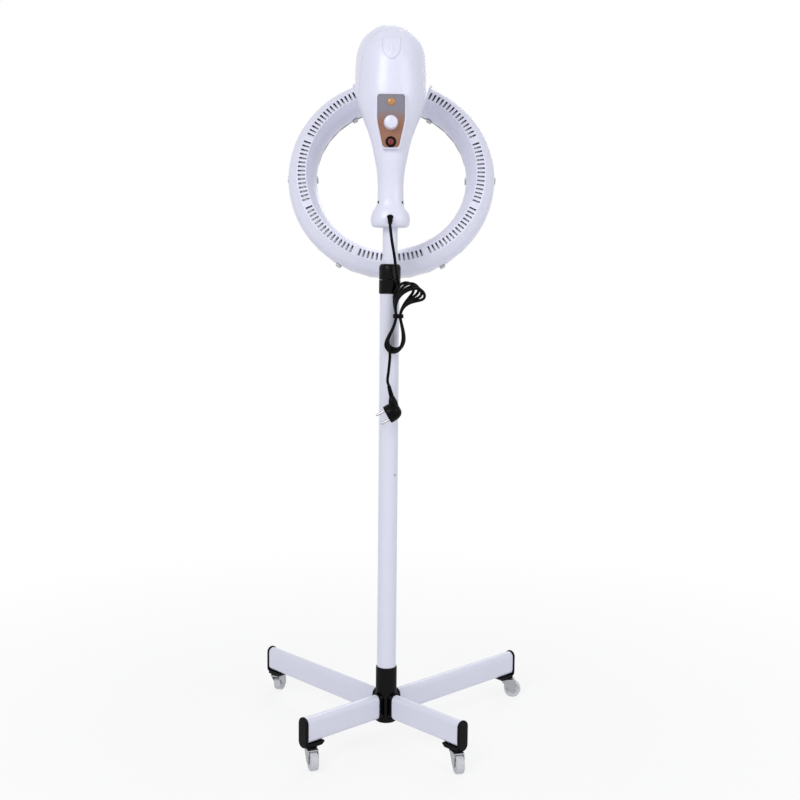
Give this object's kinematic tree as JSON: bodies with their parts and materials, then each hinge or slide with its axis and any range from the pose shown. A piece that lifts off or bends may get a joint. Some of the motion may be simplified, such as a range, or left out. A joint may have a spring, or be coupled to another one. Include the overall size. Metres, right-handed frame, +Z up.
{
  "type": "hair color processor",
  "caption": "Salon hair color processor: slotted ring heater orbiting in front of a rounded motor head on a telescopic pole with a wheeled cross base and a bound mains cord.",
  "frame": {"origin": "on the floor under the middle of the part, cord left out", "axes": "+Z up the pole, +Y from the operator towards the client, +X to the operator's right"},
  "size_m": [0.5676, 0.4754, 1.417],
  "materials": {
    "shell_plastic": "satin",
    "painted_tube": "gloss",
    "black_plastic": "satin",
    "steel": "satin",
    "nylon": "satin",
    "panel_film": "satin",
    "red_plastic": "gloss",
    "amber_lens": "gloss",
    "reflector": "polished",
    "quartz": "polished",
    "ceramic": "matte",
    "cord_rubber": "matte"
  },
  "bodies": {
    "stand": {"base_hub": "black_plastic", "leg_short_left": "painted_tube", "leg_short_right": "painted_tube", "leg_long_left": "painted_tube", "leg_long_right": "painted_tube", "cap_short_left": "black_plastic", "cap_short_right": "black_plastic", "cap_long_left": "black_plastic", "cap_long_right": "black_plastic", "lower_pole": "painted_tube", "clamp_base": "black_plastic", "clamp_collet": "nylon"},
    "nut": {"clamp_nut": "black_plastic"},
    "column": {"upper_pole": "painted_tube", "guide_bush": "nylon"},
    "head": {"rear_housing": "shell_plastic", "front_housing": "shell_plastic", "top_plug": "shell_plastic", "cord_gland": "cord_rubber", "neck_sleeve": "nylon", "panel_rim": "shell_plastic", "control_panel": "panel_film", "timer_body": "black_plastic", "switch_body": "black_plastic", "indicator_lens": "amber_lens", "gear_motor": "steel", "spindle_bearing": "nylon", "cord_upper": "cord_rubber", "cord_hank": "cord_rubber", "cord_tie": "cord_rubber", "cord_tail": "cord_rubber", "plug_body": "cord_rubber", "plug_pin_1": "steel", "plug_pin_2": "steel"},
    "knob": {"timer_knob": "shell_plastic"},
    "button": {"power_button": "red_plastic"},
    "ring": {"drive_shaft": "steel", "orbit_hub": "shell_plastic", "ring_saddle": "shell_plastic", "ring_rear_shell": "shell_plastic", "ring_reflector": "reflector", "guard_grille": "steel", "heater_tube_1": "quartz", "heater_tube_2": "quartz", "heater_tube_3": "quartz", "heater_holder_1": "ceramic", "heater_holder_2": "ceramic", "heater_holder_3": "ceramic"},
    "caster_short_left": {"fork_short_left": "steel", "axle_short_left": "steel"},
    "roll_short_left": {"wheel_short_left": "nylon"},
    "caster_short_right": {"fork_short_right": "steel", "axle_short_right": "steel"},
    "roll_short_right": {"wheel_short_right": "nylon"},
    "caster_long_left": {"fork_long_left": "steel", "axle_long_left": "steel"},
    "roll_long_left": {"wheel_long_left": "nylon"},
    "caster_long_right": {"fork_long_right": "steel", "axle_long_right": "steel"},
    "roll_long_right": {"wheel_long_right": "nylon"}
  },
  "joints": [
    {"name": "nut_twist", "type": "hinge", "parent": "stand", "child": "nut", "pos_m": [-0.01354, -0.06005, 0.937], "axis": [0, 0, 1], "range_deg": [0, 180]},
    {"name": "column_slide", "type": "slide", "parent": "stand", "child": "column", "axis": [0, 0, 1], "range_m": [-0.05, 0.3]},
    {"name": "head_yaw", "type": "hinge", "parent": "column", "child": "head", "pos_m": [-0.01354, -0.06005, 1.06], "axis": [0, 0, 1], "range_deg": [-170, 170]},
    {"name": "timer_turn", "type": "hinge", "parent": "head", "child": "knob", "pos_m": [-0.01354, -0.11005, 1.2145], "axis": [0, 1, 0], "range_deg": [0, 300]},
    {"name": "button_press", "type": "slide", "parent": "head", "child": "button", "axis": [0, 1, 0], "range_m": [0, 0.003], "stiffness_N_per_m": 300},
    {"name": "ring_orbit", "type": "hinge", "parent": "head", "child": "ring", "pos_m": [-0.01354, 0.09265, 1.318], "axis": [0, 0.7431, -0.6691], "continuous": true},
    {"name": "swivel_short_left", "type": "hinge", "parent": "stand", "child": "caster_short_left", "pos_m": [-0.15499, -0.19428, 0.04], "axis": [0, 0, 1], "continuous": true},
    {"name": "spin_short_left", "type": "hinge", "parent": "caster_short_left", "child": "roll_short_left", "pos_m": [-0.14917, -0.21026, 0.018], "axis": [0.9397, 0.342, 0], "continuous": true},
    {"name": "swivel_short_right", "type": "hinge", "parent": "stand", "child": "caster_short_right", "pos_m": [0.12069, -0.2015, 0.04], "axis": [0, 0, 1], "continuous": true},
    {"name": "spin_short_right", "type": "hinge", "parent": "caster_short_right", "child": "roll_short_right", "pos_m": [0.12509, -0.21792, 0.018], "axis": [0.9659, 0.2588, 0], "continuous": true},
    {"name": "swivel_long_left", "type": "hinge", "parent": "stand", "child": "caster_long_left", "pos_m": [-0.26204, 0.20181, 0.04], "axis": [0, 0, 1], "continuous": true},
    {"name": "spin_long_left", "type": "hinge", "parent": "caster_long_left", "child": "roll_long_left", "pos_m": [-0.25622, 0.21778, 0.018], "axis": [-0.9397, 0.342, 0], "continuous": true},
    {"name": "swivel_long_right", "type": "hinge", "parent": "stand", "child": "caster_long_right", "pos_m": [0.24832, 0.18844, 0.04], "axis": [0, 0, 1], "continuous": true},
    {"name": "spin_long_right", "type": "hinge", "parent": "caster_long_right", "child": "roll_long_right", "pos_m": [0.26532, 0.18844, 0.018], "axis": [0, 1, 0], "continuous": true}
  ]
}
